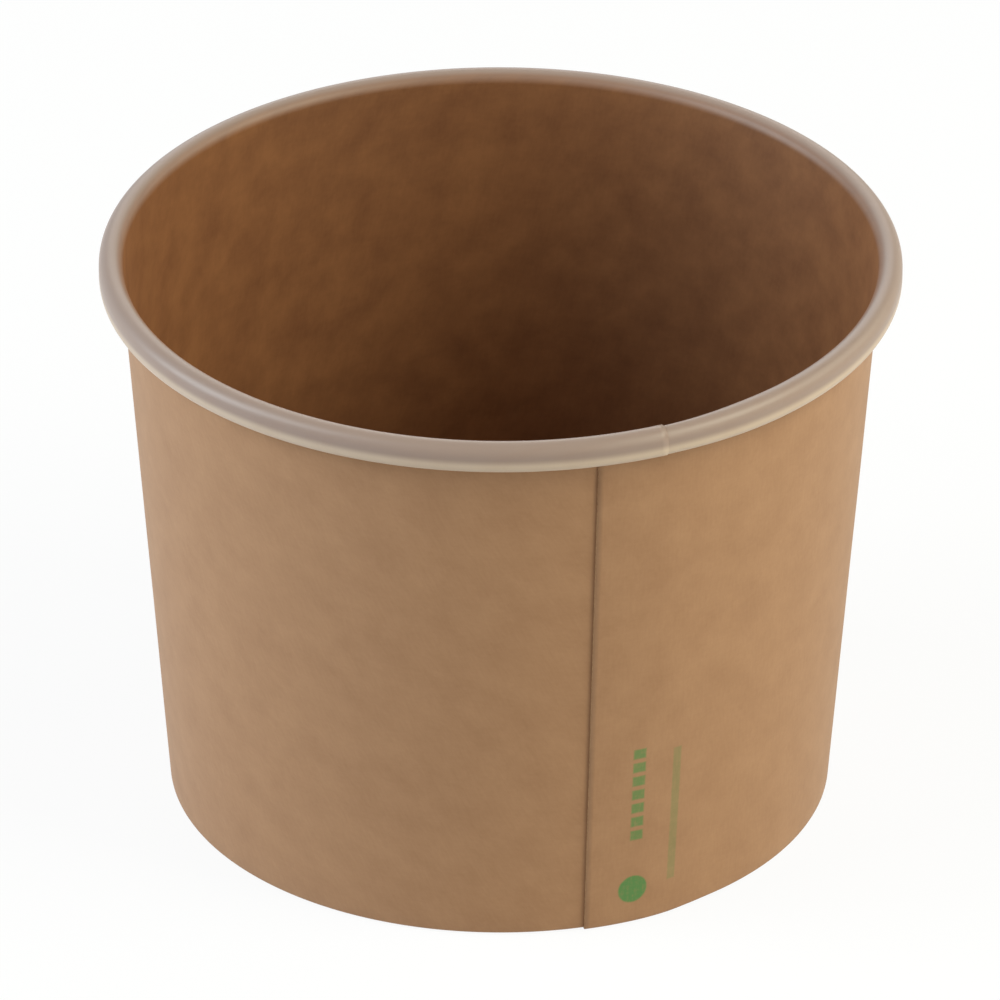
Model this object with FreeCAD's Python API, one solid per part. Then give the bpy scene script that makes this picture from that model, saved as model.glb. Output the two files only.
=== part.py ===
import FreeCAD, Part
import math
import os

# Paper ice cream tub, about 350 ml to the brim.
# It is two pieces of lined kraft board. The side wall is one blank wrapped into a cone, lapped
# and sealed down one side, curled outward into the rim at the top and folded inward under the
# skirt of the base disc at the bottom. The base disc is a drawn pan, open side down.
# Millimetres, +Z up, origin on the tub's axis in the plane it stands on.

# Sizes over the whole tub
rim_diameter = 96.0       # over the curled rim, the size that a lid goes over
tub_height = 71.0         # table to the top of the rim
foot_diameter = 80.0      # over the wall where it meets the table

# Board
wall_board = 0.36         # thickness of the wall's board, with its lining
base_board = 0.30         # thickness of the base's board
seal_gap = 0.02           # glue line left on each side of the base's skirt

# Curled rim
roll_width = 2.9          # across the roll, from the mouth's edge to the rim's outside
roll_height = 3.6         # from the top of the roll to its underside
roll_slack = 0.10         # room between the curled tail and the doubled wall at the seam
tail_turn = 135.0         # how far the edge is turned under, in degrees past the rim's side

# Side seam
seam_bearing = -75.3      # degrees from +X to the outer end of the board
seam_lap = 8.0            # how far the outer end covers the inner end, along the rim
seam_ease = 9.0           # run beyond the lap in which the outer layer comes back to the cone

# Foot and base
floor_height = 6.8        # table to the upper face of the base disc
hem_height = 5.2          # how far the wall is folded up inside the foot
floor_corner = 1.2        # outside radius between the disc and its skirt
skirt_lift = 0.25         # room between the skirt's edge and the fold below it

# A bend is a few creases whose flats touch its arc, so the board keeps its thickness round it
ROLL_CREASES = 3          # in each quarter of the rim's top
TAIL_CREASES = 3          # in the turn under the rim
FLOOR_CREASES = 3         # between the base disc and its skirt
EASE_SECTIONS = 5         # sections that shape the run beyond the lap
AXIS = FreeCAD.Vector(0, 0, 1)
CENTRE = FreeCAD.Vector(0, 0, 0)


class BoardPath:
    """A path in the half plane (radius, height), walked as lines and turns.

    Board lies to the right of the path. A depth moves the path that far to its right, so right
    turns get tighter and left turns get wider.
    """

    def __init__(self, start, heading):
        self.start = start
        self.heading = heading
        self.moves = []

    def line(self, length):
        self.moves.append((length, 0.0, 0))

    def turn_right(self, radius, angle, creases):
        self.moves.append((radius, -angle, creases))

    def turn_left(self, radius, angle, creases):
        self.moves.append((radius, angle, creases))

    def points(self, depth):
        """The path's ends and creases at a depth."""
        heading = self.heading
        point = step(self.start, heading - math.pi / 2, depth)
        made = [point]
        for size, angle, creases in self.moves:
            if not creases:
                point = step(point, heading, size)
                continue
            turn = angle / creases
            reach = (size + math.copysign(depth, angle)) * math.tan(abs(turn) / 2)
            for _ in range(creases):
                made.append(step(point, heading, reach))
                heading += turn
                point = step(made[-1], heading, reach)
        return made + [point]


def step(point, heading, length):
    """The point that far from another, with headings counted up from the radius."""
    return (point[0] + length * math.cos(heading), point[1] + length * math.sin(heading))


def upright(point):
    """A (radius, height) point as a vector in the XZ plane."""
    return FreeCAD.Vector(point[0], 0, point[1])


def outline(near, far):
    """The closed outline, in the XZ plane, between two rows of points."""
    corners = near + far[::-1] + near[:1]
    return Part.makePolygon([upright(corner) for corner in corners])


def at_bearing(shape, bearing):
    """A copy of a shape turned about the tub's axis."""
    turned = shape.copy()
    turned.rotate(CENTRE, AXIS, bearing)
    return turned


def sector(section, bearing, sweep):
    """A solid swept about the tub's axis from a bearing, in degrees."""
    return at_bearing(Part.Face(section), bearing).revolve(CENTRE, AXIS, sweep)


rim_radius = rim_diameter / 2
foot_radius = foot_diameter / 2
top_bend = roll_width / 2                                         # lining's radius over the roll
tail_bend = (roll_width - 2 * wall_board - roll_slack) / 2        # and under it
roll_hub = (rim_radius - top_bend, tub_height - top_bend)


def wall_lean():
    """The wall's angle from upright: its outside leaves the foot and runs up into the roll."""
    across = roll_hub[0] - foot_radius
    reach = math.hypot(across, roll_hub[1])
    return math.atan2(across, roll_hub[1]) - math.asin((top_bend - wall_board) / reach)


lean = wall_lean()
up_wall = math.pi / 2 - lean                                      # heading up the wall
down_wall = up_wall - math.pi

# Ends of the wall's lining: the fold's inner corner, and where the roll begins
wall_low = (foot_radius - wall_board * (1 - math.sin(lean)) / math.cos(lean), wall_board)
wall_high = step(roll_hub, up_wall + math.pi / 2, top_bend)
fold_width = (base_board + 2 * seal_gap) / math.cos(lean)         # between hem and wall


def wall_path():
    """The lining's path from the hem's edge round the foot, up the wall and round the rim."""
    hem_low = (wall_low[0] - fold_width, wall_board)
    hem_run = (hem_height - wall_board) / math.cos(lean)
    path = BoardPath(step(hem_low, up_wall, hem_run), down_wall)
    path.line(hem_run)
    path.turn_left(0.0, math.pi / 2 + lean, 1)
    path.line(fold_width)
    path.turn_left(0.0, up_wall, 1)
    path.line(math.dist(wall_low, wall_high))
    path.turn_right(top_bend, up_wall, ROLL_CREASES)
    path.turn_right(top_bend, math.pi / 2, ROLL_CREASES)
    path.line(roll_height - top_bend - tail_bend)
    path.turn_right(tail_bend, math.radians(tail_turn), TAIL_CREASES)
    return path


def wall_section(near, far):
    """The wall's section between two depths. Layers that lie under the skirt are pressed level."""
    path = wall_path()
    rows = []
    for depth, fold_height in ((near, wall_board - near / 2), (far, 0.0)):
        row = path.points(depth)
        for i in (1, 2):
            row[i] = step(row[i], up_wall, (fold_height - row[i][1]) / math.cos(lean))
        rows.append(row)
    return outline(rows[0], rows[1])


def side_wall():
    """The wrapped blank: single board, the doubled lap, and the run that leads out of the lap."""
    lap_sweep = math.degrees(seam_lap / rim_radius)
    ease_sweep = math.degrees(seam_ease / rim_radius)
    lap_end = seam_bearing + lap_sweep
    ease_end = lap_end + ease_sweep
    single = sector(wall_section(0.0, wall_board), ease_end, 360 - lap_sweep - ease_sweep)
    doubled = sector(wall_section(0.0, 2 * wall_board), seam_bearing, lap_sweep)
    sections = []
    for i in range(EASE_SECTIONS):
        share = i / (EASE_SECTIONS - 1)
        depth = wall_board * (1 + math.cos(math.pi * share)) / 2
        section = wall_section(depth, depth + wall_board)
        sections.append(at_bearing(section, lap_end + share * ease_sweep))
    eased = Part.makeLoft(sections, True, True)
    return single.fuse([doubled, eased]).removeSplitter()


def base_disc():
    """The base: a flat disc with a skirt that follows the wall down into the foot fold."""
    # The skirt's outside leaves the corner's hub at the wall's angle, a glue line off the lining
    skirt_low = step(wall_low, up_wall + math.pi / 2, seal_gap)
    corner_low = floor_height - floor_corner * (1 + math.sin(lean))
    corner_rise = (corner_low - skirt_low[1]) / math.cos(lean)
    corner_hub = step(step(skirt_low, up_wall, corner_rise), up_wall + math.pi / 2, floor_corner)
    path = BoardPath((0.0, floor_height), 0.0)
    path.line(corner_hub[0])
    path.turn_right(floor_corner, math.pi / 2 + lean, FLOOR_CREASES)
    path.line((corner_low - wall_board - skirt_lift) / math.cos(lean))
    return sector(outline(path.points(0.0), path.points(base_board)), 0, 360)


def write(name, shape):
    """Writes one piece and prints its facts."""
    solid = shape.Solids[0]
    print(name, "solids", len(shape.Solids), "valid", shape.isValid(),
          "volume", round(shape.Volume, 2), "faces", len(shape.Faces),
          "box", [round(v, 3) for v in (shape.BoundBox.XMin, shape.BoundBox.YMin, shape.BoundBox.ZMin,
                                        shape.BoundBox.XMax, shape.BoundBox.YMax, shape.BoundBox.ZMax)])
    solid.exportStep(os.path.join("parts", name + ".step"))


os.makedirs("parts", exist_ok=True)
write("side_wall", side_wall())
write("base_disc", base_disc())
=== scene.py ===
"""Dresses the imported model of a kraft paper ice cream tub, lights it and aims the camera.

The side wall is one sheet of lined board wrapped by geometry nodes, and the base is a pressed disc
made by the same nodes. Metres throughout, +Z up, the tub's axis at the origin.
"""
import math
import bpy
from mathutils import Matrix, Vector


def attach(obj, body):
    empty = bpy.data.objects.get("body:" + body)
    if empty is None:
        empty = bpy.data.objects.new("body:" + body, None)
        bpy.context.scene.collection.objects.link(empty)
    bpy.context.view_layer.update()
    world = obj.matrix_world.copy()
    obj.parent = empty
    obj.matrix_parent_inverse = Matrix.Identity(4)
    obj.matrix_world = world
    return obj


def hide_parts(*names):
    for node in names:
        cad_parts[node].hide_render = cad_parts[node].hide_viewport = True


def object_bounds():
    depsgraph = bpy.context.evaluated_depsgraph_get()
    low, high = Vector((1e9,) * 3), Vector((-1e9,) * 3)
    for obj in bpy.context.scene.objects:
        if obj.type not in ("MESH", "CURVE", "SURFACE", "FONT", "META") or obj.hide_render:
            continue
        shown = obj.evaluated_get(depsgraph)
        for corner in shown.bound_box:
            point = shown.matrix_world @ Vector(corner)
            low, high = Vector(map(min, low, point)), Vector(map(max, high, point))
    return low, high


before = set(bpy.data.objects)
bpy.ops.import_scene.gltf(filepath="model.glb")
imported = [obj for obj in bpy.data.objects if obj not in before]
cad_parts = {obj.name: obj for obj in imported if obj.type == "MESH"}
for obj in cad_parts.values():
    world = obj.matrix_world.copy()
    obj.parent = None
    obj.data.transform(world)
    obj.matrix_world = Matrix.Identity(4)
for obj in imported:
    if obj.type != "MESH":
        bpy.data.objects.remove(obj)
CAD_LOW, CAD_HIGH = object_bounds()

bl_info = {
    "name": "Paper ice cream tub",
    "version": (1, 0, 0),
    "blender": (4, 5, 0),
    "location": "View3D > Sidebar > Tub",
    "description": "Dresses the packed model of a kraft paper tub, with its stage and camera",
    "category": "Object",
}

MM = 0.001
FULL_TURN = 2 * math.pi
QUARTER = math.pi / 2
SAME_PLACE = 1e-6         # points nearer than this are one point


def ink(red, green, blue):
    """A colour in the 0 to 255 steps of a paint chart, as the linear colour that a shader takes."""
    steps = [channel / 255 for channel in (red, green, blue)]
    return tuple(s / 12.92 if s <= 0.04045 else ((s + 0.055) / 1.055) ** 2.4 for s in steps)


def length(name, default, description):
    """A property that holds a length in metres."""
    return bpy.props.FloatProperty(name=name, description=description, default=default, min=0.0,
                                   precision=5, unit="LENGTH")


def angle(name, degrees, description):
    """A property that holds an angle."""
    return bpy.props.FloatProperty(name=name, description=description, default=math.radians(degrees),
                                   subtype="ANGLE")


def colour(name, default, description):
    """A property that holds a colour."""
    return bpy.props.FloatVectorProperty(name=name, description=description, default=default, size=3,
                                         min=0.0, max=1.0, subtype="COLOR")


def amount(name, default, description):
    """A property that holds a plain number."""
    return bpy.props.FloatProperty(name=name, description=description, default=default, min=0.0)


class TubSizes(bpy.types.PropertyGroup):
    """Sizes of the tub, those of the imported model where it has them."""

    rim_radius: length("Rim radius", CAD_HIGH.x, "Axis to the outside of the curled rim")
    height: length("Height", CAD_HIGH.z, "Table to the top of the rim")
    foot_radius: length("Foot radius", 40 * MM, "Axis to the outside of the wall, at the table")
    board: length("Wall board", 0.36 * MM, "Thickness of the wall's board")
    glue: length("Glue line", 0.02 * MM, "Room between two layers that are sealed together")
    base_board: length("Base board", 0.30 * MM, "Thickness of the base's board")
    roll_width: length("Roll width", 2.9 * MM, "Mouth's edge to the rim's outside")
    roll_height: length("Roll height", 3.6 * MM, "Top of the roll to its underside")
    roll_slack: length("Roll slack", 0.10 * MM, "Room between the curled tail and the wall")
    tail_turn: angle("Tail turn", 135, "How far the edge is turned under, past the rim's side")
    seam_bearing: angle("Seam bearing", -75.3, "From +X round to the board's outer end")
    seam_lap: length("Seam lap", 8 * MM, "How far the outer end covers the inner end")
    seam_ease: length("Seam ease", 13 * MM, "Run in which the outer layer comes back to the cone")
    rim_press: amount("Rim press", 0.78, "How much of its thickness the lap loses in the rolled rim")
    floor_height: length("Floor height", 6.8 * MM, "Table to the upper face of the base")
    floor_corner: length("Floor corner", 1.2 * MM, "Outside radius between base and skirt")
    hem_height: length("Hem height", 5.2 * MM, "How far the wall is folded up inside the foot")
    fold_corner: length("Fold corner", 0.06 * MM, "Lining's radius at the corners of the fold")
    skirt_lift: length("Skirt lift", 0.25 * MM, "Room between the skirt's edge and the fold")
    knurl_depth: length("Knurl depth", 0.10 * MM, "Depth of the pressed ribs on the hem")
    ripple: length("Ripple", 0.05 * MM, "How far the wall strays from a true cone")
    dishing: length("Dishing", 0.25 * MM, "How far the middle of the base sinks")


class TubColours(bpy.types.PropertyGroup):
    """Colours of the board, inside and out."""

    kraft: colour("Kraft", ink(161, 120, 84), "Bare board on the outside")
    kraft_fibre: colour("Kraft fibre", ink(136, 96, 64), "Darker fibres in the bare board")
    lining: colour("Lining", ink(135, 90, 57), "Lined board on the inside")
    lining_fibre: colour("Lining fibre", ink(110, 69, 42), "Darker fibres under the lining")
    rim: colour("Rim", ink(148, 128, 118), "Lining where the curl has stretched it pale")
    # Low on the roll's outside: the stretched pale lining made lighter still by a painted reflection of the
    # floor below
    rim_edge_painted_reflection: colour("Rim's edge", ink(186, 166, 148), "Lining low on the outside of the roll, the palest")
    cut_edge: colour("Cut edge", ink(184, 146, 104), "Cut ends of the board")
    print_ink: colour("Print ink", ink(64, 116, 52), "Plain green marks beside the seam")
    floor: colour("Floor", ink(238, 238, 238), "Table under the tub")


class TubStage(bpy.types.PropertyGroup):
    """Camera and lights."""

    pitch: angle("Camera pitch", 29.62, "How far the camera looks down")
    roll: angle("Camera roll", 0.16, "How far the camera leans")
    distance: length("Camera distance", 1.758, "Camera to the middle of the tub")
    lens: amount("Lens", 524.8, "Focal length in millimetres for a 36 mm sensor")
    lift: length("Aim lift", 1.16 * MM, "How far above the tub's middle the camera aims")
    ambient: amount("Ambient", 0.09, "Light from all round")
    table_glow: amount("Table glow", 0.33, "Share of the table's surface that gives off light")
    cool: colour("Left lamps", (0.84, 0.95, 1.0), "Colour of the lamps on the left")
    warm: colour("Right lamps", (1.0, 1.0, 0.8), "Colour of the lamps on the right")
    lamp_distance: length("Lamp distance", 0.9, "Lamps to the middle of the tub")
    lamp_width: length("Lamp width", 0.5, "Across each lamp")


# Name, bearing from the camera's side, elevation, watts and tint of each lamp
LAMPS = (
    ("left_low_softbox", -90, 20, 5.655, "cool"),
    ("left_high_softbox", -70, 40, 3.631, "cool"),
    ("right_high_softbox", 70, 40, 5.95, "warm"),
    ("right_front_softbox", 45, 20, 1.85, "warm"),
    ("right_back_softbox", 110, 30, 1.9, "warm"),
    ("back_softbox", 180, 25, 1.15, None),
)


class Value:
    """A socket that does sums. An expression on values adds its Math nodes."""

    def __init__(self, graph, socket):
        self.graph = graph
        self.socket = socket

    def __add__(self, other):
        return self.graph.math("ADD", self, other)

    def __radd__(self, other):
        return self.graph.math("ADD", other, self)

    def __sub__(self, other):
        return self.graph.math("SUBTRACT", self, other)

    def __rsub__(self, other):
        return self.graph.math("SUBTRACT", other, self)

    def __mul__(self, other):
        return self.graph.math("MULTIPLY", self, other)

    def __rmul__(self, other):
        return self.graph.math("MULTIPLY", other, self)

    def __truediv__(self, other):
        return self.graph.math("DIVIDE", self, other)

    def __rtruediv__(self, other):
        return self.graph.math("DIVIDE", other, self)

    def cosine(self):
        return self.graph.math("COSINE", self)

    def sine(self):
        return self.graph.math("SINE", self)

    def whole(self):
        return self.graph.math("FLOOR", self)

    def size(self):
        return self.graph.math("ABSOLUTE", self)

    def at_least(self, other):
        return self.graph.math("MAXIMUM", self, other)

    def at_most(self, other):
        return self.graph.math("MINIMUM", self, other)

    def within(self, low, high):
        """0 at low and 1 at high, held between them."""
        return self.graph.value("ShaderNodeMapRange", {"clamp": True},
                                {"Value": self, "From Min": low, "From Max": high})

    def eased(self, low, high):
        """Like within, with soft ends."""
        return self.graph.value("ShaderNodeMapRange", {"clamp": True, "interpolation_type": "SMOOTHSTEP"},
                                {"Value": self, "From Min": low, "From Max": high})


class Graph:
    """Adds nodes to a shader tree or a geometry tree."""

    def __init__(self, tree):
        self.tree = tree

    def node(self, kind, settings=None, sockets=None):
        """A node, with its settings made first and then its sockets set or linked."""
        made = self.tree.nodes.new(kind)
        for name, setting in (settings or {}).items():
            setattr(made, name, setting)
        for key, given in (sockets or {}).items():
            for item in given if isinstance(given, list) else [given]:
                if isinstance(item, Value):
                    self.tree.links.new(item.socket, made.inputs[key])
                else:
                    made.inputs[key].default_value = item
        return made

    def value(self, kind, settings=None, sockets=None, out=0):
        """One output of a new node."""
        return Value(self, self.node(kind, settings, sockets).outputs[out])

    def math(self, operation, *terms):
        return self.value("ShaderNodeMath", {"operation": operation}, dict(enumerate(terms)))

    def vector_math(self, operation, *terms):
        return self.value("ShaderNodeVectorMath", {"operation": operation}, dict(enumerate(terms)))

    def vector(self, x, y, z):
        return self.value("ShaderNodeCombineXYZ", None, {0: x, 1: y, 2: z})

    def reach(self, across, up):
        """How far a point of a plane lies from its origin."""
        return self.value("ShaderNodeVectorMath", {"operation": "LENGTH"},
                          {0: self.vector(across, up, 0.0)}, "Value")

    def parts(self, vector):
        """The three numbers of a vector."""
        split = self.node("ShaderNodeSeparateXYZ", None, {0: vector})
        return [Value(self, socket) for socket in split.outputs]

    def blend(self, share, low, high):
        """A colour between two others."""
        return self.value("ShaderNodeMix", {"data_type": "RGBA"}, {0: share, 6: low, 7: high}, 2)

    def noise(self, place, scale, detail=3.0, roughness=0.5, seed=0.0):
        """Noise from 0 to 1."""
        return self.value("ShaderNodeTexNoise", {"noise_dimensions": "4D"},
                          {"Vector": place, "W": seed, "Scale": scale, "Detail": detail,
                           "Roughness": roughness})


# Board sections

# Steps along each stretch of the wall's section
HEM_STEPS = 12
CORNER_STEPS = 5
FOLD_STEPS = 2
WALL_STEPS = 40
ROLL_STEPS = 14
RIM_SIDE_STEPS = 4
TAIL_STEPS = 12

# Steps along each stretch of the base's section
DISC_STEPS = 30
FLOOR_CORNER_STEPS = 10
SKIRT_STEPS = 6


class Section:
    """A line of points in the half plane of radius and height, with the board on its right."""

    def __init__(self, start, heading):
        self.point = start
        self.heading = heading
        self.rows = []

    def note(self, part, share):
        """Keeps this point. A part given as a function changes along its stretch."""
        side = self.heading - QUARTER
        marks = part(share) if callable(part) else part
        self.rows.append((self.point, (math.cos(side), math.sin(side)), marks))

    def run(self, distance, steps, part):
        """A straight stretch."""
        start = self.point
        for i in range(steps + 1):
            self.point = along(start, self.heading, distance * i / steps)
            self.note(part, i / steps)

    def bend(self, radius, turn, steps, part):
        """An arc, to the left where the turn is positive."""
        start = self.heading
        side = math.copysign(QUARTER, turn)
        hub = along(self.point, start + side, radius)
        for i in range(steps + 1):
            self.heading = start + turn * i / steps
            self.point = along(hub, self.heading - side, radius)
            self.note(part, i / steps)

    def mesh(self, name):
        """The line as a mesh, with what the wrapping needs to know at each point."""
        rows = [self.rows[0]]
        for row in self.rows[1:]:
            if math.dist(row[0], rows[-1][0]) > SAME_PLACE:
                rows.append(row)
        mesh = bpy.data.meshes.new(name)
        points = [(radius, 0, height) for (radius, height), _, _ in rows]
        mesh.from_pydata(points, [(i, i + 1) for i in range(len(rows) - 1)], [])
        travelled = [0.0]
        for last, row in zip(rows, rows[1:]):
            travelled.append(travelled[-1] + math.dist(last[0], row[0]))
        outward = mesh.attributes.new("outward", "FLOAT_VECTOR", "POINT")
        outward.data.foreach_set("vector", [n for _, (out, up), _ in rows for n in (out, 0.0, up)])
        run = mesh.attributes.new("run", "FLOAT", "POINT")
        run.data.foreach_set("value", travelled)
        for key in ("hem", "cone", "curl"):
            share = mesh.attributes.new(key, "FLOAT", "POINT")
            share.data.foreach_set("value", [part.get(key, 0.0) for _, _, part in rows])
        return mesh


def along(point, heading, distance):
    """The point that far from another, with headings counted up from the radius."""
    return (point[0] + distance * math.cos(heading), point[1] + distance * math.sin(heading))


class Cone:
    """Where the wall's lining runs: up from the fold, at its lean, into the roll."""

    def __init__(self, sizes):
        bend = sizes.roll_width / 2
        roll_hub = (sizes.rim_radius - bend, sizes.height - bend)
        across = roll_hub[0] - sizes.foot_radius
        reach = math.hypot(across, roll_hub[1])
        self.lean = math.atan2(across, roll_hub[1]) - math.asin((bend - sizes.board) / reach)
        self.up = QUARTER - self.lean
        inset = sizes.board * (1 - math.sin(self.lean)) / math.cos(self.lean)
        self.low = (sizes.foot_radius - inset, sizes.board)
        self.high = along(roll_hub, self.up + QUARTER, bend)


def wall_section(sizes):
    """The lining's line from the hem's edge round the fold, up the wall and round the rim."""
    cone = Cone(sizes)
    corner = sizes.fold_corner
    fold = (sizes.base_board + 2 * sizes.glue) / math.cos(cone.lean)
    hem_low = (cone.low[0] - fold, cone.low[1])
    hem_run = (sizes.hem_height - sizes.board) / math.cos(cone.lean)
    low_cut = corner * math.tan(QUARTER / 2 + cone.lean / 2)
    high_cut = corner * math.tan(cone.up / 2)
    roll = sizes.roll_width / 2
    tail = (sizes.roll_width - 2 * sizes.board - sizes.roll_slack) / 2
    hem, plain, cone_part = {"hem": 1.0}, {}, {"cone": 1.0}
    line = Section(along(hem_low, cone.up, hem_run), cone.up - math.pi)
    line.run(hem_run - low_cut, HEM_STEPS, hem)
    line.bend(corner, QUARTER + cone.lean, CORNER_STEPS, plain)
    line.run(fold - low_cut - high_cut, FOLD_STEPS, plain)
    line.bend(corner, cone.up, CORNER_STEPS, plain)
    line.run(math.dist(cone.low, cone.high) - high_cut, WALL_STEPS, cone_part)
    line.bend(roll, -cone.up, ROLL_STEPS, lambda share: {"curl": share})
    line.bend(roll, -QUARTER, ROLL_STEPS, lambda share: {"curl": 1 + share})
    line.run(sizes.roll_height - roll - tail, RIM_SIDE_STEPS, lambda share: {"curl": 2 + share})
    line.bend(tail, -sizes.tail_turn, TAIL_STEPS, {"curl": 3.0})
    return line


def base_section(sizes):
    """The line over the base's upper face, round its corner and down its skirt."""
    cone = Cone(sizes)
    skirt_low = along(cone.low, cone.up + QUARTER, sizes.glue)
    corner_low = sizes.floor_height - sizes.floor_corner * (1 + math.sin(cone.lean))
    climb = (corner_low - skirt_low[1]) / math.cos(cone.lean)
    hub = along(along(skirt_low, cone.up, climb), cone.up + QUARTER, sizes.floor_corner)
    line = Section((0.0, sizes.floor_height), 0.0)
    line.run(hub[0], DISC_STEPS, {"cone": 1.0})
    line.bend(sizes.floor_corner, -QUARTER - cone.lean, FLOOR_CORNER_STEPS, {})
    skirt = (corner_low - sizes.board - sizes.skirt_lift) / math.cos(cone.lean)
    line.run(skirt, SKIRT_STEPS, {})
    return line


# Geometry nodes

WRAP_INPUTS = (
    ("Section", "NodeSocketGeometry"),
    ("Steps round", "NodeSocketInt"),
    ("Board", "NodeSocketFloat"),
    ("Seam bearing", "NodeSocketFloat"),
    ("Lap", "NodeSocketFloat"),
    ("Ease", "NodeSocketFloat"),
    ("Lap step", "NodeSocketFloat"),
    ("Rim press", "NodeSocketFloat"),
    ("Flat blank", "NodeSocketFloat"),
    ("Fold height", "NodeSocketFloat"),
    ("Ripple", "NodeSocketFloat"),
    ("Dishing", "NodeSocketFloat"),
    ("Knurls", "NodeSocketInt"),
    ("Knurl depth", "NodeSocketFloat"),
    ("Seed", "NodeSocketFloat"),
    ("Outside", "NodeSocketMaterial"),
    ("Inside", "NodeSocketMaterial"),
    ("Cut edge", "NodeSocketMaterial"),
)
KRAFT_SIDE, LINED_SIDE, CUT_SIDE = 0, 1, 2

# Slow waves in the wall: how close they lie round it and up it, where they end, and how softly
WAVES_ROUND = 1.6
WAVES_UP = 40.0
WAVE_TOP = 68 * MM
WAVE_FADE = 12 * MM

DISH_RADIUS = 36 * MM     # how far out a base sinks


def wrapping_tree():
    """The nodes that wrap a section line into a sheet of board, with a lapped seam.

    Depth runs from the lining into the board. The outer end starts one lap step deep, and eases
    back to the cone once it has covered the inner end.
    """
    tree = bpy.data.node_groups.new("Wrapped board", "GeometryNodeTree")
    for name, kind in WRAP_INPUTS:
        tree.interface.new_socket(name, in_out="INPUT", socket_type=kind)
    tree.interface.new_socket("Board", in_out="OUTPUT", socket_type="NodeSocketGeometry")
    graph = Graph(tree)
    entry = graph.node("NodeGroupInput")
    given = {name: Value(graph, entry.outputs[name]) for name, _ in WRAP_INPUTS}
    section = given["Section"]

    # One column of the grid for each point of the section, one row for each step round
    points = graph.value("GeometryNodeAttributeDomainSize", {"component": "MESH"}, {"Geometry": section})
    rows = given["Steps round"] + 1
    sheet = graph.value("GeometryNodeMeshGrid", None, {"Vertices X": points, "Vertices Y": rows})
    index = graph.value("GeometryNodeInputIndex")
    column = ((index + 0.5) / rows).whole()
    share = (index - column * rows) / given["Steps round"]
    turned = share * (given["Lap"] + FULL_TURN)
    bearing = given["Seam bearing"] + turned

    def attribute(name, kind):
        return graph.value("GeometryNodeInputNamedAttribute", {"data_type": kind}, {"Name": name})

    def sampled(kind, field):
        return graph.value("GeometryNodeSampleIndex", {"data_type": kind, "domain": "POINT"},
                           {"Geometry": section, "Value": field, "Index": column})

    def marked(name, kind="FLOAT"):
        return sampled(kind, attribute(name, kind))

    radius, _, height = graph.parts(sampled("FLOAT_VECTOR", graph.value("GeometryNodeInputPosition")))
    side_out, _, side_up = graph.parts(marked("outward", "FLOAT_VECTOR"))
    hem, cone, curl = marked("hem"), marked("cone"), marked("curl")

    # The outer end rises over the inner end and comes back to the cone. Both are pressed thin in the rim.
    def near_lap(run):
        return ((run / given["Ease"]).at_least(0).at_most(1) * math.pi).cosine() * 0.5 + 0.5

    outer_end = near_lap(turned - given["Lap"])
    inner_end = near_lap(FULL_TURN - turned)
    press = curl.at_most(1) * given["Rim press"]
    depth = given["Lap step"] * outer_end * (1 - press)

    # Slow waves that die out toward the rim and the foot, and the sunk middle of a base
    around = graph.vector(bearing.cosine() * WAVES_ROUND, bearing.sine() * WAVES_ROUND, height * WAVES_UP)
    waves = graph.noise(around, 1.0, 1.0, 0.4, given["Seed"]) - 0.5
    above_foot = (height / WAVE_FADE).at_most(1)
    below_rim = ((WAVE_TOP - height) / WAVE_FADE).at_least(0).at_most(1)
    stray = waves * given["Ripple"] * 2 * cone * above_foot * below_rim
    disc_share = (radius / DISH_RADIUS).at_most(1)
    sink = given["Dishing"] * (1 - disc_share * disc_share)

    def placed(out, up):
        return graph.vector(out * bearing.cosine(), out * bearing.sine(), up)

    fold_floor = given["Fold height"] - depth * 0.5
    near = placed(radius + side_out * depth + stray,
                  (height + side_up * depth - sink).at_least(fold_floor))
    ribs = (bearing * given["Knurls"]).cosine() * 0.5 + 0.5
    board = given["Board"] * (1 - press * outer_end.at_least(inner_end)) - hem * ribs * given["Knurl depth"]
    far = placed(radius + side_out * (depth + board) + stray,
                 (height + side_up * (depth + board) - sink).at_least(0))

    # Where the point lay before the wrapping. A flat blank was never wound, so it keeps its own plan.
    wound = 1 - given["Flat blank"]
    blank = graph.vector(turned * radius * wound + radius * bearing.cosine() * given["Flat blank"],
                         marked("run") * wound + radius * bearing.sine() * given["Flat blank"], 0.0)

    def merged(geometry):
        return graph.value("GeometryNodeMergeByDistance", None,
                           {"Geometry": geometry, "Distance": SAME_PLACE})

    def flipped(mesh):
        return graph.value("GeometryNodeFlipFaces", None, {"Mesh": mesh})

    def stored(geometry, name, kind, domain, value):
        return graph.value("GeometryNodeStoreNamedAttribute", {"data_type": kind, "domain": domain},
                           {"Geometry": geometry, "Name": name, "Value": value})

    sheet = graph.value("GeometryNodeSetPosition", None, {"Geometry": sheet, "Position": near})
    for name, kind, value in (("far", "FLOAT_VECTOR", far), ("blank", "FLOAT_VECTOR", blank),
                              ("curl", "FLOAT", curl)):
        sheet = stored(sheet, name, kind, "POINT", value)
    sheet = flipped(merged(sheet))

    # The far side of the board is drawn off the near one, and its cut ends close the two
    drawn = graph.node("GeometryNodeExtrudeMesh", {"mode": "FACES"},
                       {"Mesh": sheet, "Offset Scale": 0.0, "Individual": False})
    solid, top, side = (Value(graph, socket) for socket in drawn.outputs)
    solid = stored(solid, "face_side", "INT", "FACE", graph.math("MULTIPLY", side, CUT_SIDE))
    solid = graph.value("GeometryNodeSetPosition", None,
                        {"Geometry": solid, "Selection": top, "Position": attribute("far", "FLOAT_VECTOR")})
    lined = stored(flipped(sheet), "face_side", "INT", "FACE", LINED_SIDE)
    board_mesh = merged(graph.value("GeometryNodeJoinGeometry", None, {0: [lined, solid]}))
    face_side = attribute("face_side", "INT")

    def faces_of(kind):
        return graph.value("FunctionNodeCompare", {"data_type": "INT", "operation": "EQUAL"},
                           {2: face_side, 3: kind})

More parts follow.
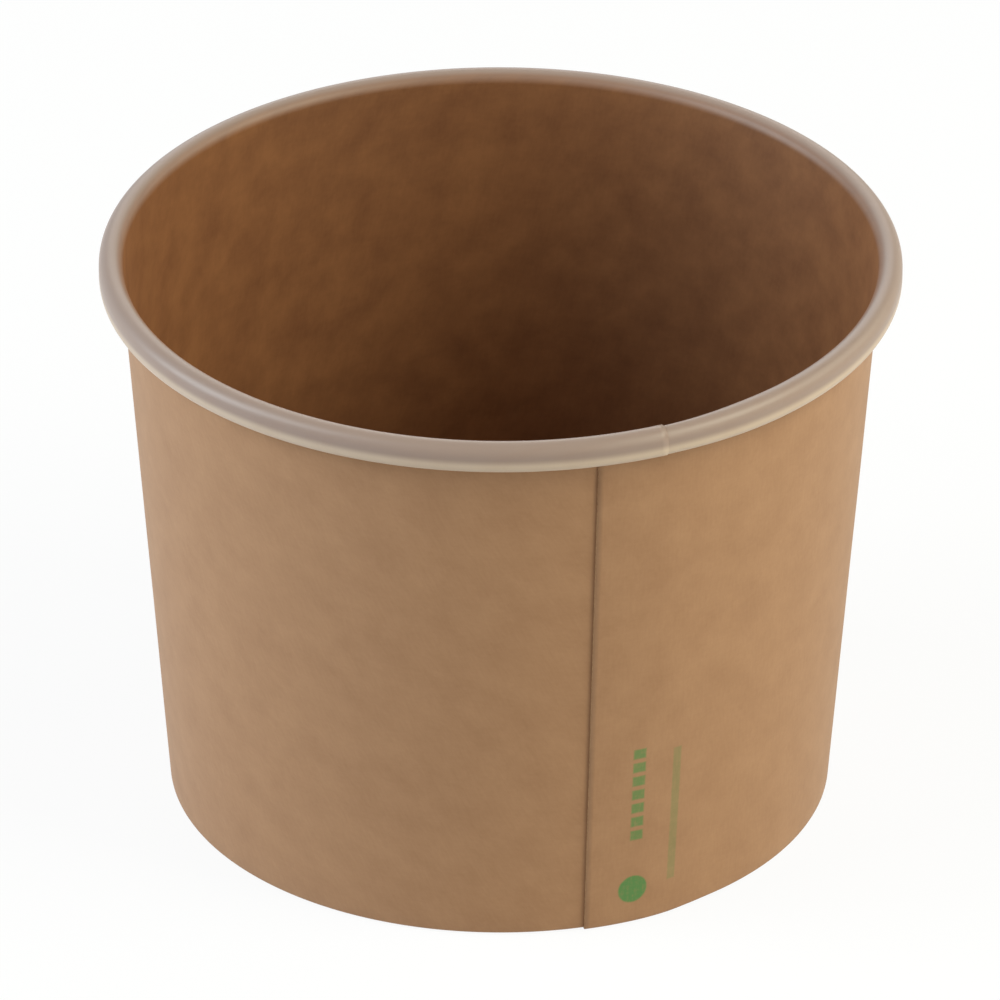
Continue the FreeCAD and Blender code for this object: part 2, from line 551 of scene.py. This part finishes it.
    board_mesh = graph.value("GeometryNodeSetShadeSmooth", {"domain": "FACE"}, {"Geometry": board_mesh})
    board_mesh = graph.value("GeometryNodeSetShadeSmooth", {"domain": "FACE"},
                             {"Geometry": board_mesh, "Selection": faces_of(CUT_SIDE),
                              "Shade Smooth": False})
    board_mesh = graph.value("GeometryNodeRealizeInstances", None, {0: board_mesh})
    for kind, name in ((KRAFT_SIDE, "Outside"), (LINED_SIDE, "Inside"), (CUT_SIDE, "Cut edge")):
        board_mesh = graph.value("GeometryNodeSetMaterial", None,
                                 {"Geometry": board_mesh, "Selection": faces_of(kind),
                                  "Material": given[name]})
    graph.node("NodeGroupOutput", None, {0: board_mesh})
    return tree


def drop_empty_slots(mesh):
    """Takes out the slot with no material that the nodes leave behind."""
    slots = list(mesh.materials)
    used = [material for material in slots if material]
    faces = [0] * len(mesh.polygons)
    mesh.polygons.foreach_get("material_index", faces)
    mesh.materials.clear()
    for material in used:
        mesh.materials.append(material)
    mesh.polygons.foreach_set("material_index", [used.index(slots[i]) for i in faces])


def wrapped(name, section, inputs):
    """A plain mesh object of a section line, wrapped with the inputs given."""
    tree = bpy.data.node_groups.get("Wrapped board") or wrapping_tree()
    maker = bpy.data.objects.new(name + "_section", section.mesh(name + "_section"))
    bpy.context.scene.collection.objects.link(maker)
    wrap = maker.modifiers.new("Wrap", "NODES")
    wrap.node_group = tree
    identifiers = {item.name: item.identifier for item in tree.interface.items_tree
                   if item.in_out == "INPUT"}
    for key, given in inputs.items():
        wrap[identifiers[key]] = given
    seen = maker.evaluated_get(bpy.context.evaluated_depsgraph_get())
    mesh = bpy.data.meshes.new_from_object(seen)
    mesh.name = name
    for spare in ("far", "face_side"):
        mesh.attributes.remove(mesh.attributes[spare])
    drop_empty_slots(mesh)
    made = bpy.data.objects.new(name, mesh)
    bpy.context.scene.collection.objects.link(made)
    maker.modifiers.clear()
    bpy.data.objects.remove(maker)
    return made


# Materials

# Cells of noise in a metre of the blank, across it and up it
CLOUD_CELLS = (210, 210)
STRAND_CELLS = (2600, 700)
CROSS_CELLS = (900, 2300)
PLY_CELLS = 2400.0

# How much the clouds darken each side of the board, and the share of dark fibres without them
KRAFT_CLOUDS = 0.9
LINING_CLOUDS = 2.0
FIBRE_SHARE = 0.4

# Plain printed marks, placed from the seam's outer edge and up from the table
BLOCKS = 7
BLOCK_ACROSS = 6.3 * MM
BLOCK_LOW = 12.6 * MM
BLOCK_PITCH = 1.95 * MM
BLOCK_WIDE = 1.6 * MM
BLOCK_TALL = 1.35 * MM
DOT_ACROSS = 6.1 * MM
DOT_UP = 4.8 * MM
DOT_RADIUS = 1.9 * MM
RULE_ACROSS = 11.4 * MM
RULE_UP = 14.4 * MM
RULE_WIDE = 1.1 * MM
RULE_TALL = 19.0 * MM
RULE_STRENGTH = 0.35
BLOCK_STRENGTH = 0.8
INK_EDGE = 0.12 * MM      # half of the run in which the ink fades out
PRINT_FLARE = 2 * MM      # how much wider the wall is there than at the foot
FOOT_MARGIN = 0.5 * MM    # what lies further in than this from the foot's outside has no print


def surface(name):
    """A new material, its graph and the place to plug its shader in."""
    material = bpy.data.materials.new(name)
    material.use_nodes = True
    material.node_tree.nodes.clear()
    graph = Graph(material.node_tree)
    return material, graph, graph.node("ShaderNodeOutputMaterial")


def finish_shader(graph, end, sockets):
    """The main shader, plugged into the material's output."""
    shader = graph.value("ShaderNodeBsdfPrincipled", None, sockets)
    graph.tree.links.new(shader.socket, end.inputs["Surface"])


def blank_place(graph):
    """Where a point lies on the flat blank: round the tub, then along its section."""
    return graph.value("ShaderNodeAttribute", {"attribute_name": "blank"}, None, "Vector")


def stretched(graph, place, cells):
    """A place on the blank, counted in cells of noise."""
    return graph.vector_math("MULTIPLY", place, (*cells, 1.0))


def fibres(graph, place, seed):
    """Slow clouds, and the weave of fine fibres that also makes the bump, each about 0 to 1."""
    clouds = graph.noise(stretched(graph, place, CLOUD_CELLS), 1.0, 3.0, 0.55, seed)
    strands = graph.noise(stretched(graph, place, STRAND_CELLS), 1.0, 4.0, 0.6, seed + 3)
    cross = graph.noise(stretched(graph, place, CROSS_CELLS), 1.0, 3.0, 0.6, seed + 7)
    return clouds, strands * 0.6 + cross * 0.4


def darkened(clouds, weave, cloudiness):
    """Share of the darker fibre colour, from 0 to 1."""
    return ((clouds - 0.5) * cloudiness + (weave - 0.5) + FIBRE_SHARE).at_least(0).at_most(1)


def bump(graph, weave, strength, depth):
    """The fibres as a fine relief."""
    return graph.value("ShaderNodeBump", None, {"Strength": strength, "Distance": depth, "Height": weave})


def kraft_material(colours, sizes):
    """Bare kraft board, with a few plain printed marks beside the seam."""
    material, graph, end = surface("bare_kraft_board")
    clouds, weave = fibres(graph, blank_place(graph), 1.0)
    tone = darkened(clouds, weave, KRAFT_CLOUDS)
    board = graph.blend(tone, (*colours.kraft, 1), (*colours.kraft_fibre, 1))
    inked = print_mask(graph, sizes) * (weave.within(0.30, 0.52) * 0.35 + 0.6)
    finish_shader(graph, end, {
        "Base Color": graph.blend(inked, board, (*colours.print_ink, 1)),
        "Roughness": 0.76 + (clouds - 0.5) * 0.15,
        "Normal": bump(graph, weave, 0.25, 0.05 * MM),
        "Sheen Weight": 0.12,
        "Sheen Roughness": 0.5,
    })
    return material


def print_mask(graph, sizes):
    """Where the ink lies: a row of blocks, a dot at its foot and a fine rule beside it."""
    place = graph.value("ShaderNodeTexCoord", None, None, "Object")
    x, y, height = graph.parts(place)
    bearing = graph.math("ARCTAN2", y, x)
    across = (bearing - sizes.seam_bearing) * (sizes.foot_radius + PRINT_FLARE)

    def patch(middle_across, middle_up, wide, tall):
        past_side = (across - middle_across).size() - wide / 2
        past_end = (height - middle_up).size() - tall / 2
        return 1 - past_side.at_least(past_end).within(-INK_EDGE, INK_EDGE)

    blocks = [patch(BLOCK_ACROSS, BLOCK_LOW + i * BLOCK_PITCH, BLOCK_WIDE, BLOCK_TALL)
              for i in range(BLOCKS)]
    row = blocks[0]
    for block in blocks[1:]:
        row = row.at_least(block)
    off_centre = graph.reach(across - DOT_ACROSS, height - DOT_UP)
    dot = 1 - off_centre.within(DOT_RADIUS - INK_EDGE, DOT_RADIUS + INK_EDGE)
    rule = patch(RULE_ACROSS, RULE_UP, RULE_WIDE, RULE_TALL) * RULE_STRENGTH
    foot_edge = sizes.foot_radius - FOOT_MARGIN
    outside = graph.reach(x, y).within(foot_edge, foot_edge + INK_EDGE)
    return (row * BLOCK_STRENGTH).at_least(dot).at_least(rule) * outside


def lining_material(colours):
    """Lined board: brown inside, and stretched pale and a little glossier round the rim, with a painted
    reflection of the floor making it lighter still low on the roll's outside.
    """
    material, graph, end = surface("lined_kraft_board")
    clouds, weave = fibres(graph, blank_place(graph), 11.0)
    tone = darkened(clouds, weave, LINING_CLOUDS)
    board = graph.blend(tone, (*colours.lining, 1), (*colours.lining_fibre, 1))
    curl = graph.value("ShaderNodeAttribute", {"attribute_name": "curl"}, None, "Fac")
    crest = curl.within(0.0, 0.4) * 0.4 + curl.eased(0.45, 0.8) * 0.55
    paled = crest * (1 + (clouds - 0.5) * 0.3 + (weave - 0.5) * 0.2).at_most(1)
    # Low on the outside of the roll the rim blends into a lighter colour: a painted reflection of the floor
    # under it
    rolled = graph.blend(curl.eased(2.2, 3.0), (*colours.rim, 1), (*colours.rim_edge_painted_reflection, 1))
    finish_shader(graph, end, {
        "Base Color": graph.blend(paled, board, rolled),
        "Roughness": 0.52 - curl.at_most(1) * 0.14 + (clouds - 0.5) * 0.1,
        "Normal": bump(graph, weave, 0.12, 0.04 * MM),
        "Specular IOR Level": 0.35,
    })
    return material


def edge_material(colours):
    """The cut ends of the board, with their plies."""
    material, graph, end = surface("cut_board_edge")
    place = graph.value("ShaderNodeTexCoord", None, None, "Object")
    grain = graph.noise(place, PLY_CELLS, 3.0, 0.6, 5.0)
    base = graph.blend(grain.within(0.3, 0.7), (*colours.cut_edge, 1), (*colours.kraft_fibre, 1))
    finish_shader(graph, end, {"Base Color": base, "Roughness": 0.9})
    return material


# Pieces and stage

WALL_STEPS_ROUND = 380
BASE_STEPS_ROUND = 180
KNURLS = 110

# Half the width of the table, its place below the foot, and the share of glow that the camera sees
FLOOR_HALF = 6.0
FLOOR_DROP = 0.1 * MM
SEEN_GLOW = 0.9


def settings():
    """The scene's sizes, colours and stage."""
    scene = bpy.context.scene
    return scene.tub_sizes, scene.tub_colours, scene.tub_stage


class TUB_OT_wrap_wall(bpy.types.Operator):
    """Wraps the side wall from one sheet of lined board, with its seam, rim and fold"""

    bl_idname = "tub.wrap_wall"
    bl_label = "Wrap the side wall"

    def execute(self, context):
        sizes, colours, _ = settings()
        wall = wrapped("wrapped_wall", wall_section(sizes), {
            "Steps round": WALL_STEPS_ROUND,
            "Board": sizes.board,
            "Seam bearing": sizes.seam_bearing,
            "Lap": sizes.seam_lap / sizes.rim_radius,
            "Ease": sizes.seam_ease / sizes.rim_radius,
            "Lap step": sizes.board + sizes.glue / 2,
            "Rim press": sizes.rim_press,
            "Fold height": sizes.board,
            "Ripple": sizes.ripple,
            "Knurls": KNURLS,
            "Knurl depth": sizes.knurl_depth,
            "Seed": 4.0,
            "Outside": kraft_material(colours, sizes),
            "Inside": lining_material(colours),
            "Cut edge": edge_material(colours),
        })
        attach(wall, "root")
        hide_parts("side_wall")
        return {"FINISHED"}


class TUB_OT_press_base(bpy.types.Operator):
    """Presses the base disc that sits in the wall's fold, from the wall's materials"""

    bl_idname = "tub.press_base"
    bl_label = "Press the base"

    def execute(self, context):
        sizes, _, _ = settings()
        materials = bpy.data.materials
        base = wrapped("pressed_base", base_section(sizes), {
            "Steps round": BASE_STEPS_ROUND,
            "Board": sizes.base_board,
            "Seam bearing": 0.0,
            "Lap": 0.0,
            "Ease": 1.0,
            "Lap step": 0.0,
            "Rim press": 0.0,
            "Flat blank": 1.0,
            "Fold height": 0.0,
            "Dishing": sizes.dishing,
            "Seed": 9.0,
            "Outside": materials["bare_kraft_board"],
            "Inside": materials["lined_kraft_board"],
            "Cut edge": materials["cut_board_edge"],
        })
        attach(base, "root")
        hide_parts("base_disc")
        return {"FINISHED"}


def softbox(name, middle, bearing, elevation, power, shade, stage):
    """A square lamp that looks at the middle of the tub, and that the camera doesn't see."""
    lamp = bpy.data.lights.new(name, "AREA")
    lamp.shape = "SQUARE"
    lamp.size = stage.lamp_width
    lamp.energy = power
    lamp.color = shade
    shown = bpy.data.objects.new(name, lamp)
    bpy.context.scene.collection.objects.link(shown)
    shown.visible_camera = False
    turn, lift = math.radians(bearing), math.radians(elevation)
    away = Vector((math.sin(turn) * math.cos(lift), -math.cos(turn) * math.cos(lift), math.sin(lift)))
    shown.location = middle + away * stage.lamp_distance
    shown.rotation_euler = (-away).to_track_quat("-Z", "Y").to_euler()


def white_rays(graph):
    """1 for what the camera sees, straight or in a reflection."""
    rays = graph.node("ShaderNodeLightPath")
    return Value(graph, rays.outputs["Is Camera Ray"]).at_least(Value(graph, rays.outputs["Is Glossy Ray"]))


class TUB_OT_set_stage(bpy.types.Operator):
    """Lays the floor and sets the lamps, the world and the camera"""

    bl_idname = "tub.set_stage"
    bl_label = "Set the stage"

    def execute(self, context):
        sizes, colours, stage = settings()
        scene = context.scene
        scene.view_settings.view_transform = "Standard"
        self.lay_floor(colours, stage)
        self.light_world(stage)
        middle = Vector((0, 0, sizes.height / 2))
        for name, bearing, elevation, power, tint in LAMPS:
            shade = getattr(stage, tint) if tint else (1, 1, 1)
            softbox(name, middle, bearing, elevation, power, shade, stage)
        self.aim_camera(scene, middle, stage)
        return {"FINISHED"}

    def lay_floor(self, colours, stage):
        """A wide pale table that the camera sees as nearly white, with the tub's shadow on it."""
        mesh = bpy.data.meshes.new("floor")
        corners = [(x * FLOOR_HALF, y * FLOOR_HALF, -FLOOR_DROP)
                   for x, y in ((-1, -1), (1, -1), (1, 1), (-1, 1))]
        mesh.from_pydata(corners, [], [(0, 1, 2, 3)])
        floor = bpy.data.objects.new("floor", mesh)
        bpy.context.scene.collection.objects.link(floor)
        material, graph, end = surface("pale_floor")
        matt = graph.value("ShaderNodeBsdfDiffuse", None, {"Color": (*colours.floor, 1)})
        glow = graph.value("ShaderNodeEmission", None, {"Color": (1, 1, 1, 1), "Strength": 1.0})
        share = stage.table_glow + white_rays(graph) * (SEEN_GLOW - stage.table_glow)
        both = graph.value("ShaderNodeMixShader", None, {0: share, 1: matt, 2: glow})
        graph.tree.links.new(both.socket, end.inputs["Surface"])
        mesh.materials.append(material)

    def light_world(self, stage):
        """Even light from all round, and white where the camera or a reflection looks past the floor."""
        world = bpy.data.worlds.new("studio")
        bpy.context.scene.world = world
        world.use_nodes = True
        world.node_tree.nodes.clear()
        graph = Graph(world.node_tree)
        seen = white_rays(graph)
        strength = seen + (1 - seen) * stage.ambient
        sky = graph.value("ShaderNodeBackground", None, {"Color": (1, 1, 1, 1), "Strength": strength})
        graph.node("ShaderNodeOutputWorld", None, {"Surface": sky})

    def aim_camera(self, scene, middle, stage):
        """A long lens in front of the tub, at the photograph's angle."""
        data = bpy.data.cameras.new("camera")
        data.sensor_width = 36.0
        data.lens = stage.lens
        data.clip_start = 0.1
        data.clip_end = 50.0
        camera = bpy.data.objects.new("camera", data)
        scene.collection.objects.link(camera)
        turn = Matrix.Rotation(QUARTER - stage.pitch, 3, "X") @ Matrix.Rotation(stage.roll, 3, "Z")
        camera.rotation_euler = turn.to_euler()
        camera.location = middle + turn @ Vector((0, stage.lift, stage.distance))
        scene.camera = camera


class TUB_PT_panel(bpy.types.Panel):
    """Sizes and colours of the tub, and the steps that make it"""

    bl_idname = "TUB_PT_panel"
    bl_label = "Paper tub"
    bl_space_type = "VIEW_3D"
    bl_region_type = "UI"
    bl_category = "Tub"

    def draw(self, context):
        for group in settings():
            box = self.layout.box()
            for key in group.__annotations__:
                box.prop(group, key)
        for step in STEPS:
            self.layout.operator(step.bl_idname)


STEPS = (TUB_OT_wrap_wall, TUB_OT_press_base, TUB_OT_set_stage)
CLASSES = (TubSizes, TubColours, TubStage, *STEPS, TUB_PT_panel)


def register():
    for kind in CLASSES:
        bpy.utils.register_class(kind)
    bpy.types.Scene.tub_sizes = bpy.props.PointerProperty(type=TubSizes)
    bpy.types.Scene.tub_colours = bpy.props.PointerProperty(type=TubColours)
    bpy.types.Scene.tub_stage = bpy.props.PointerProperty(type=TubStage)


def unregister():
    del bpy.types.Scene.tub_stage
    del bpy.types.Scene.tub_colours
    del bpy.types.Scene.tub_sizes
    for kind in reversed(CLASSES):
        bpy.utils.unregister_class(kind)


def main():
    """Makes every piece and the stage."""
    register()
    bpy.ops.tub.wrap_wall()
    bpy.ops.tub.press_base()
    bpy.ops.tub.set_stage()


if __name__ == "__main__":
    main()
